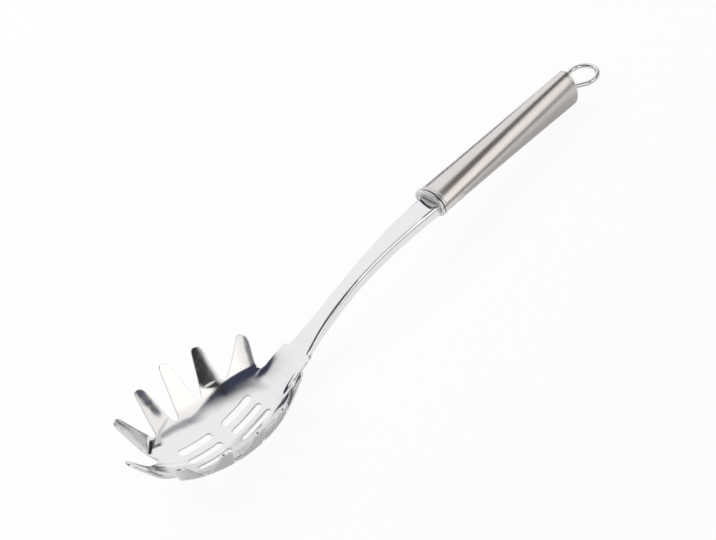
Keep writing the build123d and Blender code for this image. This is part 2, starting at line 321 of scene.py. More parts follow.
def height_on(oval, x, y, lowest):
    """Height at which a growing oval reaches each point, found by halving the range of heights."""
    low = np.full(np.shape(x), float(lowest))
    high = np.full(np.shape(x), WALL_TOP)
    for _ in range(HALVINGS):
        z = (low + high) / 2
        front, rear, half = oval(z)
        inside = ((2 * x - rear + front) / (rear + front)) ** 2 + (y / half) ** 2 < 1
        high = np.where(inside, z, high)
        low = np.where(inside, low, z)
    return (low + high) / 2


def beside_neck(run):
    """Share by which a run lies beside the neck, eased from 0 on the neck to 1 off it."""
    return ease((abs(run) - NECK_HALF - NECK_MARGIN) / NECK_FADE)


def bowl_height(x, y, foot_blend):
    """Height of the bowl's inside: the higher of floor and wall, rounded where they meet.

    The rounded maximum is half of the sum plus the root of the squared difference and the squared
    blend. The wall fades out where the neck leaves the bowl.
    """
    floor = height_on(floor_oval, x, y, -BOWL_DEPTH)
    wall = height_on(wall_oval, x, y, -2 * BOWL_DEPTH)
    rounded = (floor + wall + np.sqrt((floor - wall) ** 2 + foot_blend**2)) / 2
    walled = 1 - ease((x - RAMP_START) / WALL_FADE_RUN) * (1 - beside_neck(y))
    return floor + walled * (rounded - floor)


def shank_half(x):
    """Half width of the shank's top face, slimmest at the waist, and of the hidden tang.

    It grows with the square of the distance ahead of the waist and is eased behind it.
    """
    ahead = (WAIST - np.maximum(x, RAMP_END)) / (WAIST - RAMP_END)
    flare = np.clip((FLARE_END - x) / (FLARE_END - FOLD_START), 0, 1)
    front = WAIST_HALF + (FRONT_HALF - WAIST_HALF) * ahead**2 + FLARE_HALF * flare**2
    rear = WAIST_HALF + (REAR_HALF - WAIST_HALF) * ease((x - WAIST) / (TANG_START - WAIST))
    tang = REAR_HALF + (TANG_HALF - REAR_HALF) * ease((x - TANG_START) / TANG_RUN)
    return np.select([x < WAIST, x < TANG_START], [front, rear], tang)


def flat_half(x):
    """Half width of the flat between the sheet's two bends, eased from the neck to the fold."""
    folded = shank_half(x) - BEND_RADIUS * sin(BEND_ANGLE / 2)
    opened = NECK_HALF - SKIRT_RUN + FLARE_HALF
    widening = ease((x - NECK_START) / (FOLD_START - NECK_START))
    return np.where(x < FOLD_START, opened + (folded - opened) * widening, folded)


def sheet_point(x, run, foot_blend):
    """Point of the sheet's upper face at a distance x along it and a run across it.

    In the bowl the run is the distance from the middle plane. Along the neck it is measured on the
    sheet: flat, then round a bend whose angle grows along the fold, then straight down the skirt.
    Beside the neck the sheet curls up by the square of the run past the curl's start.
    """
    reach = abs(run)
    flat = flat_half(x)
    past = np.maximum(reach - flat, 0)
    turn = np.minimum(past / BEND_RADIUS, BEND_ANGLE * ease((x - FOLD_START) / FOLD_RUN))
    skirt = past - turn * BEND_RADIUS
    start = np.full(np.shape(x), NECK_START)
    crease = 1 - ease((x - CREASE_START) / CREASE_RUN)
    lift = height_on(floor_oval, start, np.minimum(reach, NECK_HALF), -BOWL_DEPTH)
    lift = (lift - height_on(floor_oval, start, 0 * reach, -BOWL_DEPTH)) * crease
    curl = np.clip((reach - CURL_START) / (CURL_END - CURL_START), 0, CURL_LIMIT) ** 2
    lift = lift + CURL_RISE * curl * (1 - ease((x - CURL_FADE) / CURL_RUN))
    across = np.minimum(reach, flat) + BEND_RADIUS * np.sin(turn) + skirt * np.cos(turn)
    neck = middle_height(x) + lift - BEND_RADIUS * (1 - np.cos(turn)) - skirt * np.sin(turn)
    beside = np.where(x < NECK_START, beside_neck(run), 0)
    joining = ease((x - RAMP_START + JOIN_LEAD) / JOIN_RUN) * (1 - beside)
    bowl = bowl_height(np.minimum(x, NECK_START + JOIN_LEAD), run, foot_blend)
    return np.stack([x, np.sign(run) * across, bowl + joining * (neck - bowl)], axis=-1)


def sheet_normal(x, run, foot_blend):
    """Upward unit normal of the sheet: cross product of its slopes along x and along the run."""
    step = NORMAL_STEP
    along = sheet_point(x + step, run, foot_blend) - sheet_point(x - step, run, foot_blend)
    across = sheet_point(x, run + step, foot_blend) - sheet_point(x, run - step, foot_blend)
    return unit(np.cross(along, across))


def lay_down(points, sheet):
    """Points in mm, turned onto the table and moved to the frame's place in m, and the turn.

    The belly's round and the heel of the handle touch the table. The turn is the angle whose sine
    is the belly's radius over the heel's distance, less the angle at which the heel lies.
    """
    heel_x = GRIP_REAR_X + GRIP_REAR[1] * sin(GRIP_TILT)
    heel_z = GRIP_REAR_Z - GRIP_REAR[1] * cos(GRIP_TILT)
    centre = HOLLOW_RADIUS - BOWL_DEPTH
    belly = HOLLOW_RADIUS + sheet
    pitch = asin(belly / hypot(heel_x, centre - heel_z)) - atan((centre - heel_z) / heel_x)
    turn = np.array([[cos(pitch), 0, -sin(pitch)], [0, 1, 0], [sin(pitch), 0, cos(pitch)]])
    loop_end = GRIP_REAR_X + LOOP_REACH + SOLID_LOOP_RADIUS + SOLID_WIRE_RADIUS
    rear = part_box("hanging_loop")[1][0] / MM
    shift = rear - loop_end * cos(pitch) - GRIP_REAR_Z * sin(pitch)
    place = np.array([shift, 0, belly - centre * cos(pitch)])
    return (points @ turn + place) * MM, turn


def make_piece(name, points, faces, normals, sheet):
    """Mesh object from points in mm, its faces, and normals that smooth the shading."""
    placed, turn = lay_down(points, sheet)
    mesh = bpy.data.meshes.new(name)
    mesh.from_pydata(placed.tolist(), [], faces)
    mesh.update()
    mesh.polygons.foreach_set("use_smooth", np.ones(len(mesh.polygons), dtype=bool))
    if normals is not None:
        mesh.normals_split_custom_set_from_vertices((normals @ turn).tolist())
    piece = bpy.data.objects.new(name, mesh)
    bpy.context.scene.collection.objects.link(piece)
    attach(piece, "root")
    return piece


def rounded_outline(corners, radii, spacing):
    """Closed outline through corners, each replaced by an arc that is tangent to both its sides.

    A point of the arc is the sum of both its ends from the centre, weighted by the sines of the
    turn that is left and of the turn that is done, over the sine of the whole turn.
    """
    points = []
    count = len(corners)
    for i in range(count):
        corner = corners[i]
        if radii[i] == 0:
            points.append(corner)
            continue
        before = unit(corners[i - 1] - corner)
        after = unit(corners[(i + 1) % count] - corner)
        half = np.arccos(np.clip(before @ after, -1, 1)) / 2
        centre = corner + unit(before + after) * radii[i] / np.sin(half)
        first = corner + before * radii[i] / np.tan(half) - centre
        last = corner + after * radii[i] / np.tan(half) - centre
        sweep = pi - 2 * half
        turn = np.linspace(0, 1, max(int(sweep * radii[i] / spacing * 2), 4))[:, None]
        weights = np.sin((1 - turn) * sweep) * first + np.sin(turn * sweep) * last
        points.extend(centre + weights / np.sin(sweep))
    return np.array(points)


def subdivided(loop, spacing):
    """Closed outline with its long sides divided evenly."""
    after = np.roll(loop, -1, axis=0)
    lengths = np.linalg.norm(after - loop, axis=1)
    pieces = []
    for start, end, length in zip(loop, after, lengths):
        count = max(int(np.ceil(length / spacing)), 1)
        t = np.linspace(0, 1, count, endpoint=False)[:, None]
        pieces.append(start + (end - start) * t)
    return np.concatenate(pieces)


def line_crossing(point, along, other, across):
    """Point where two lines cross: the first's point and a share of its direction.

    The share is the cross product of gap and second direction over that of both directions.
    """
    gap = other - point
    parallel = along[0] * across[1] - along[1] * across[0]
    share = (gap[0] * across[1] - gap[1] * across[0]) / parallel
    return point + along * share


def tine_corners(tip_radius, valley_radius):
    """Corners and radii of one side of the head's outline, from the front tine to the tang's end.

    The tines stand at given distances along the oval foot of the wall, each with its own heading
    and reach, and taper from root to tip. Neighbouring edges are run on until they cross.
    """
    turn = np.linspace(pi, 0, num=4001)
    length = FOOT_FRONT_RUN + FOOT_REAR_RUN
    oval = np.stack([np.cos(turn) * length, 2 * np.sin(turn) * FOOT_HALF_WIDTH], 1) / 2
    oval[:, 0] += (FOOT_REAR_RUN - FOOT_FRONT_RUN) / 2
    walked = np.cumsum(np.linalg.norm(np.diff(oval, axis=0), axis=1))
    walked = np.concatenate([[0], walked])
    roots = np.stack([np.interp(TINE_PLACES, walked, oval[:, axis]) for axis in (0, 1)], 1)
    out = np.stack([np.cos(TINE_HEADINGS), np.sin(TINE_HEADINGS)], 1)
    side = np.stack([np.sin(TINE_HEADINGS), -np.cos(TINE_HEADINGS)], 1)
    tips = roots + out * TINE_REACH[:, None]
    root_side = side * TINE_ROOT_HALF[:, None]
    tip_side = side * TINE_TIP_HALF
    front_root, front_tip = roots - root_side, tips - tip_side
    rear_root, rear_tip = roots + root_side, tips + tip_side
    front_edge = front_tip - front_root
    rear_edge = rear_tip - rear_root
    corners = [rear_tip[0]]
    radii = [tip_radius]
    for i in range(len(TINE_PLACES) - 1):
        valley = line_crossing(rear_root[i], rear_edge[i], front_root[i + 1], front_edge[i + 1])
        corners.extend([valley, front_tip[i + 1], rear_tip[i + 1]])
        radii.extend([valley_radius, tip_radius, tip_radius])
    neck = np.array([NECK_START, NECK_HALF])
    flare = np.array([cos(NECK_FLARE), -sin(NECK_FLARE)])
    corners.append(line_crossing(rear_root[-1], rear_edge[-1], neck, flare))
    radii.append(NECK_VALLEY)
    x = np.linspace(NECK_START, TANG_END, NECK_ROWS)
    skirt = SKIRT_RUN - FLARE_HALF * (1 - ease((x - FOLD_START) / (FLARE_END - FOLD_START)))
    skirt = np.where(x < FOLD_START, SKIRT_RUN - FLARE_HALF, skirt)
    corners.extend(np.stack([x, flat_half(x) + skirt], 1))
    radii.extend([0] * (NECK_ROWS - 1) + [TANG_ROUND])
    return np.array(corners), radii


def slot_loops(length, width, pitch, spacing):
    """Round-ended slots as closed outlines: two half circles joined by straight sides."""
    turn = np.linspace(-pi / 2, pi / 2, num=15)
    end = np.stack([np.cos(turn), np.sin(turn)], 1) * width / 2
    end[:, 0] += (length - width) / 2
    slot = subdivided(np.concatenate([end, -end]), spacing)[::-1]
    step = (length + SLOT_BRIDGE) / 2
    places = [(SLOT_SHIFT + side * step, row * pitch) for side in (-1, 1) for row in SLOT_ROWS]
    return [slot + place for place in places]


def inside_loop(points, loop):
    """Whether each point lies inside a closed outline: an odd number of sides crosses its ray."""
    after = np.roll(loop, -1, axis=0)
    crossed = np.zeros(len(points), dtype=bool)
    for start, end in zip(loop, after):
        if start[1] == end[1]:
            continue
        spans = (start[1] > points[:, 1]) != (end[1] > points[:, 1])
        slope = (end[0] - start[0]) / (end[1] - start[1])
        crossed ^= spans & (points[:, 0] < start[0] + (points[:, 1] - start[1]) * slope)
    return crossed


def inside_sheet(points, loops):
    """Whether each point lies inside the first outline and in none of the others, the slots."""
    inside = inside_loop(points, loops[0])
    for loop in loops[1:]:
        inside &= ~inside_loop(points, loop)
    return inside


def far_from(points, loops, distance):
    """Whether each point is farther than a distance from all points of the outlines."""
    kept = np.ones(len(points), dtype=bool)
    marks = np.concatenate(loops)
    batch = 2000
    for start in range(0, len(points), batch):
        part = points[start : start + batch]
        gaps = part[:, None] - marks[None]
        kept[start : start + batch] = np.hypot(gaps[..., 0], gaps[..., 1]).min(axis=1) > distance
    return kept


def sheet_cells(loops, spacing):
    """Triangles between the outlines, with evenly set points inside, in the sheet's parameters.

    The bowl has a staggered grid. Rows of points cross the neck and the shank, closer together
    round the bends. A Delaunay division that keeps the outlines joins them all.
    """
    rows = np.arange(-FIELD_HALF, FIELD_HALF, spacing)
    columns = np.arange(FIELD_FRONT, NECK_START + FIELD_OVERLAP, spacing)
    grid = np.stack(np.meshgrid(columns, rows), -1)
    grid[1::2, :, 0] += spacing / 2
    x = np.arange(NECK_START + STRIP_LEAD, TANG_END, STRIP_STEP)
    flat = flat_half(x)[:, None]
    bend = BEND_RADIUS * BEND_ANGLE
    runs = [flat * share for share in FLAT_SHARES]
    runs += [flat + bend * share for share in BEND_SHARES]
    runs += [flat + bend + (SKIRT_RUN - bend) * share for share in SKIRT_SHARES]
    runs = np.concatenate(runs, axis=1)
    runs = np.concatenate([-runs[:, ::-1], 0 * flat, runs], axis=1)
    strip = np.stack([np.repeat(x[:, None], runs.shape[1], axis=1), runs], -1)
    points = np.concatenate([grid.reshape(-1, 2), strip.reshape(-1, 2)])
    points = points[inside_sheet(points, loops)]
    points = points[far_from(points, loops, spacing * EDGE_GAP_SHARE)]
    points = np.concatenate(loops + [points])
    sides = []
    start = 0
    for loop in loops:
        index = np.arange(len(loop))
        sides.extend(np.stack([index, np.roll(index, -1)], 1) + start)
        start += len(loop)
    # The division is made at about unit size, where its tolerance is far below the cells' size
    shrink = 0.01
    tolerance = 1e-9
    corners = [Vector(point) for point in points * shrink]
    sides = [tuple(map(int, side)) for side in sides]
    found = delaunay_2d_cdt(corners, sides, [], 0, tolerance)
    places, cells, sources = found[0], np.array(found[2]), found[3]
    middles = (np.array([place[:] for place in places]) / shrink)[cells].mean(axis=1)
    given = np.array([source[0] for source in sources])
    return points, given[cells[inside_sheet(middles, loops)]]


def pressed_sheet(loops, sheet, edge_bulge, foot_blend, spacing):
    """Closed mesh of a sheet: upper and lower faces, joined along each outline by a rounded edge.

    The lower face is the upper one moved by the sheet along its normal. The edge is half an
    ellipse from one to the other, as thick as the sheet and standing out by the bulge.
    """
    points, cells = sheet_cells(loops, spacing)
    x, run = points.T
    upper = sheet_point(x, run, foot_blend)
    normal = sheet_normal(x, run, foot_blend)
    count = len(points)
    all_points = [upper, upper - normal * sheet]
    all_normals = [normal, -normal]
    faces = cells.tolist() + (cells[:, ::-1] + count).tolist()
    start = 0
    filled = 2 * count
    for loop in loops:
        index = np.arange(start, start + len(loop))
        around = np.roll(upper[index], -1, axis=0) - np.roll(upper[index], 1, axis=0)
        out = unit(np.cross(unit(around), normal[index]))
        rings = [index]
        for turn in np.linspace(0, pi, EDGE_STEPS)[1:-1]:
            drop = normal[index] * sheet * (1 - cos(turn)) / 2
            facing = normal[index] * cos(turn) * edge_bulge + out * sin(turn) * sheet / 2
            all_points.append(upper[index] - drop + out * edge_bulge * sin(turn))
            all_normals.append(unit(facing))
            rings.append(np.arange(filled, filled + len(loop)))
            filled += len(loop)
        rings.append(index + count)
        for ring, below in zip(rings, rings[1:]):
            faces += np.stack([ring, below, np.roll(below, -1), np.roll(ring, -1)], 1).tolist()
        start += len(loop)
    return np.concatenate(all_points), faces, np.concatenate(all_normals)


def wrapped_grid(points, closed_along):
    """Points and faces of a grid whose columns close on themselves, and its rows if so asked."""
    rows, columns = points.shape[:2]
    index = np.arange(rows * columns).reshape(rows, columns)
    first = index if closed_along else index[:-1]
    second = np.roll(index, -1, axis=0) if closed_along else index[1:]
    faces = [first, np.roll(first, -1, axis=1), np.roll(second, -1, axis=1), second]
    return points.reshape(-1, 3), np.stack(faces, -1).reshape(-1, 4).tolist()


def closed_ends(faces, rows, columns):
    """The faces of an open grid with a face across each of its two ends."""
    last = (rows - 1) * columns
    return faces + [list(range(columns))[::-1], list(range(last, last + columns))]


def grip_half(run):
    """Half width and half height of the handle's oval, which change evenly along the handle."""
    return GRIP_FRONT + (GRIP_REAR - GRIP_FRONT) * (run / GRIP_LENGTH)


def grip_loop(run, inset, columns, power=2.0, size=None, rise=0.0):
    """Oval loop square to the handle: cosine and sine of the turn, raised to 2 over the power."""
    turn = np.linspace(0, 2 * pi, columns, endpoint=False)
    half = (grip_half(run) if size is None else np.array(size)) - inset
    across = np.sign(np.cos(turn)) * abs(np.cos(turn)) ** (2 / power) * half[0]
    up = np.sign(np.sin(turn)) * abs(np.sin(turn)) ** (2 / power) * half[1] + rise
    start = GRIP_FOOT + GRIP_ALONG * run
    return start + across[:, None] * GRIP_ACROSS + up[:, None] * GRIP_UP


def grip_loops(profile, columns):
    """Oval loops round the handle, one for each run and inset of a profile."""
    return [grip_loop(run, inset, columns) for run, inset in profile]


def arc_profile(centre_run, centre_inset, radius, start, end, count):
    """Part of a circle in the run and inset plane, for a rounded edge carried round the handle."""
    turn = np.radians(np.linspace(start, end, count))
    return [(centre_run + radius * np.cos(a), centre_inset - radius * np.sin(a)) for a in turn]


def hex_linear(code):
    """Linear colour of an sRGB hex value."""
    parts = [int(code[i : i + 2], 16) / 255 for i in (1, 3, 5)]
    return [c / 12.92 if c <= 0.04045 else ((c + 0.055) / 1.055) ** 2.4 for c in parts] + [1.0]


def add_node(tree, kind, inputs=None, **settings):
    """Adds a node, sets its properties, and sets or links its inputs."""
    node = tree.nodes.new(kind)
    for name, value in settings.items():
        setattr(node, name, value)
    for name, value in (inputs or {}).items():
        if isinstance(value, bpy.types.NodeSocket):
            tree.links.new(value, node.inputs[name])
        else:
            node.inputs[name].default_value = value
    return node


def new_material(name):
    """Empty node material and its tree."""
    material = bpy.data.materials.new(name)
    material.use_nodes = True
    material.node_tree.nodes.clear()
    return material, material.node_tree


def polished_steel(name, colour, roughness, ripple):
    """Stainless steel, electropolished after pressing to the haze that its roughness says.

    The eye sees the room mirrored, sharply where roughness is low, bent a little by ripples that
    pressing left, with faint clouds of haze. Ripples are about 9 mm across and haze about 4 mm.
    """
    material, tree = new_material(name)
    place = add_node(tree, "ShaderNodeTexCoord").outputs["Object"]
    waves = {"Vector": place, "Scale": 1 / (9 * MM), "Detail": 1.0}
    waves = add_node(tree, "ShaderNodeTexNoise", waves)
    haze = {"Vector": place, "Scale": 1 / (4 * MM), "Detail": 3.0}
    haze = add_node(tree, "ShaderNodeTexNoise", haze)
    rough = dict(NOISE_LIMITS, Value=haze.outputs["Fac"])
    rough.update({"To Min": roughness * 0.7, "To Max": roughness * 1.4})
    rough = add_node(tree, "ShaderNodeMapRange", rough)
    bump = {"Height": waves.outputs["Fac"], "Strength": ripple, "Distance": 0.4 * MM}
    bump = add_node(tree, "ShaderNodeBump", bump)
    surface = {"Base Color": hex_linear(colour), "Metallic": 1.0}
    surface.update({"Roughness": rough.outputs["Result"], "Normal": bump.outputs["Normal"]})
    shader = add_node(tree, "ShaderNodeBsdfPrincipled", surface)
    add_node(tree, "ShaderNodeOutputMaterial", {"Surface": shader.outputs["BSDF"]})
    return material


def brushed_steel(name, colour, roughness):
    """Stainless tube brushed with a fine belt along its length.

    The eye sees soft streaks that run along the tube. A real belt leaves lines about 0.05 mm wide,
    too fine to show here, so they are drawn about 0.25 mm wide and 20 mm long.
    """
    material, tree = new_material(name)
    place = add_node(tree, "ShaderNodeTexCoord").outputs["Object"]
    stretch = {"Vector": place, "Scale": (0.02, 1.0, 1.0)}
    streaks = add_node(tree, "ShaderNodeMapping", stretch).outputs["Vector"]
    lines = {"Vector": streaks, "Scale": 1 / (0.8 * MM), "Detail": 2.0}
    lines = add_node(tree, "ShaderNodeTexNoise", lines)
    bands = {"Vector": streaks, "Scale": 1 / (4 * MM), "Detail": 2.0}
    bands = add_node(tree, "ShaderNodeTexNoise", bands)
    rough = dict(NOISE_LIMITS, Value=bands.outputs["Fac"])
    rough.update({"To Min": roughness * 0.9, "To Max": roughness * 1.1})
    rough = add_node(tree, "ShaderNodeMapRange", rough)
    tone = add_node(tree, "ShaderNodeMapRange", dict(NOISE_LIMITS, Value=lines.outputs["Fac"]))
    lighter = hex_linear(colour)
    darker = [c * 0.9 for c in lighter[:3]] + [1.0]
    tint = {"Factor": tone.outputs["Result"], 6: darker, 7: lighter}
    tint = add_node(tree, "ShaderNodeMix", tint, data_type="RGBA")
    bump = {"Height": lines.outputs["Fac"], "Strength": 0.05, "Distance": 0.1 * MM}
    bump = add_node(tree, "ShaderNodeBump", bump)
    surface = {"Base Color": tint.outputs[2], "Metallic": 1.0}
    surface.update({"Roughness": rough.outputs["Result"], "Normal": bump.outputs["Normal"]})
    shader = add_node(tree, "ShaderNodeBsdfPrincipled", surface)
    add_node(tree, "ShaderNodeOutputMaterial", {"Surface": shader.outputs["BSDF"]})
    return material


def length(name, description, size):
    """Length property whose default is a size in mm."""
    return FloatProperty(name=name, description=description, default=size * MM, unit="LENGTH")


class HeadSizes(bpy.types.PropertyGroup):
    """Sizes of the pressed head that a user would change."""

    sheet: length("Sheet", "Thickness of the sheet", 1.2)
    edge_bulge: length("Edge", "How far the rounded edge stands out", 0.28)
    foot_blend: length("Foot", "Rounding at the foot of the wall", 1.6)
    tip_radius: length("Tips", "Rounding of the tine tips", 2.2)
    valley_radius: length("Valleys", "Rounding between tines", 2.0)
    slot_length: length("Slot length", "Length of a slot", 19.4)
    slot_width: length("Slot width", "Width of a slot", 4.3)
    slot_pitch: length("Slot pitch", "Distance between rows", 7.4)
    spacing: length("Cells", "Size of the mesh's cells", 0.85)


class HandleSizes(bpy.types.PropertyGroup):
    """Sizes of the handle's pieces that a user would change."""

    bead_width: length("Bead", "Width of a collar bead", 1.5)
    bead_rise: length("Rise", "How far a bead stands proud", 0.35)
    recess: length("Recess", "Depth of the collar's plate", 0.7)
    cap_round: length("Cap edge", "Rounding of the cap", 1.1)
    wire: length("Wire", "Diameter of the loop's wire", 2.5)
    loop_radius: length("Loop", "Radius of the loop's middle line", 7.95)
    columns: IntProperty(name="Columns", description="Faces round the handle", default=160)


class Finishes(bpy.types.PropertyGroup):
    """Colours and polish of the steel."""

    sheet_colour: StringProperty(
        name="Sheet", description="Colour of the pressed sheet, sRGB hex", default="#ECEBEC"
    )
    tube_colour: StringProperty(
        name="Tube", description="Colour of the brushed tube, sRGB hex", default="#E2DDDB"
    )
    trim_colour: StringProperty(
        name="Trim", description="Colour of collar, cap and wire, sRGB hex", default="#E2E1E0"
    )
    sheet_roughness: FloatProperty(
        name="Sheet haze", description="Roughness of the sheet", default=0.09, subtype="FACTOR"
    )
    tube_roughness: FloatProperty(
        name="Tube haze", description="Roughness of the tube", default=0.26, subtype="FACTOR"
    )
    trim_roughness: FloatProperty(
        name="Trim haze", description="Roughness of the trim", default=0.08, subtype="FACTOR"
    )


class StageSettings(bpy.types.PropertyGroup):
    """Where the camera stands and how it looks at the object."""

    lens: FloatProperty(name="Lens", description="Focal length", default=85.47, unit="CAMERA")
    camera_place: FloatVectorProperty(
        name="Camera",
        description="Where the camera stands",
        default=(-0.28691, -0.52879, 0.59096),
        subtype="XYZ",
        unit="LENGTH",
    )
    aim: FloatVectorProperty(
        name="Aim",
        description="What the camera looks at",
        default=(-0.01146, 0.00672, 0.015),
        subtype="XYZ",
        unit="LENGTH",
    )
    roll: FloatProperty(
        name="Roll", description="Turn of the camera", default=radians(24.571), subtype="ANGLE"
    )


class BuildHead(bpy.types.Operator):
    """Build the pressed head: bowl, tines, slots, neck and channel shank as one sheet"""

    bl_idname = "pasta_server.build_head"
    bl_label = "Build head"

    def execute(self, context):
        sizes = context.scene.pasta_head
        looks = context.scene.pasta_finish
        sheet = sizes.sheet / MM
        spacing = sizes.spacing / MM
        edge_spacing = spacing * EDGE_CELL_SHARE
        corners, radii = tine_corners(sizes.tip_radius / MM, sizes.valley_radius / MM)
        corners = np.concatenate([corners, corners[::-1] * [1, -1]])[::-1]
        radii = (radii + radii[::-1])[::-1]
        outline = subdivided(rounded_outline(corners, radii, spacing), edge_spacing)
        slots = slot_loops(
            sizes.slot_length / MM, sizes.slot_width / MM, sizes.slot_pitch / MM, edge_spacing
        )
        points, faces, normals = pressed_sheet(
            [outline] + slots, sheet, sizes.edge_bulge / MM, sizes.foot_blend / MM, spacing
        )
        piece = make_piece("pressed_head", points, faces, normals, sheet)
        steel = polished_steel(
            "polished sheet steel", looks.sheet_colour, looks.sheet_roughness, SHEET_RIPPLE
        )
        piece.data.materials.append(steel)
        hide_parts("tined_head")
        return {"FINISHED"}


class BuildTube(bpy.types.Operator):
    """Build the brushed tube, oval and lying at the front, oval and upright at the rear"""

    bl_idname = "pasta_server.build_tube"
    bl_label = "Build tube"

    def execute(self, context):
        columns = context.scene.pasta_handle.columns
        looks = context.scene.pasta_finish
        front = COLLAR_LENGTH + TUBE_LIP
        end = GRIP_LENGTH - CAP_THICKNESS
        rear = end - TUBE_LIP
        profile = arc_profile(front, TUBE_LIP, TUBE_LIP, 180, 90, count=5)
        profile += [(run, 0) for run in np.linspace(front, rear, num=60)[1:-1]]
        profile += arc_profile(rear, TUBE_LIP, TUBE_LIP, 90, 0, count=5)
        profile += [(end, TUBE_WALL), (COLLAR_LENGTH, TUBE_WALL)]
        points, faces = wrapped_grid(np.stack(grip_loops(profile, columns)), True)
        piece = make_piece("brushed_tube", points, faces, None, context.scene.pasta_head.sheet / MM)
        steel = brushed_steel("brushed tube steel", looks.tube_colour, looks.tube_roughness)
        piece.data.materials.append(steel)
        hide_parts("handle_tube")
        return {"FINISHED"}


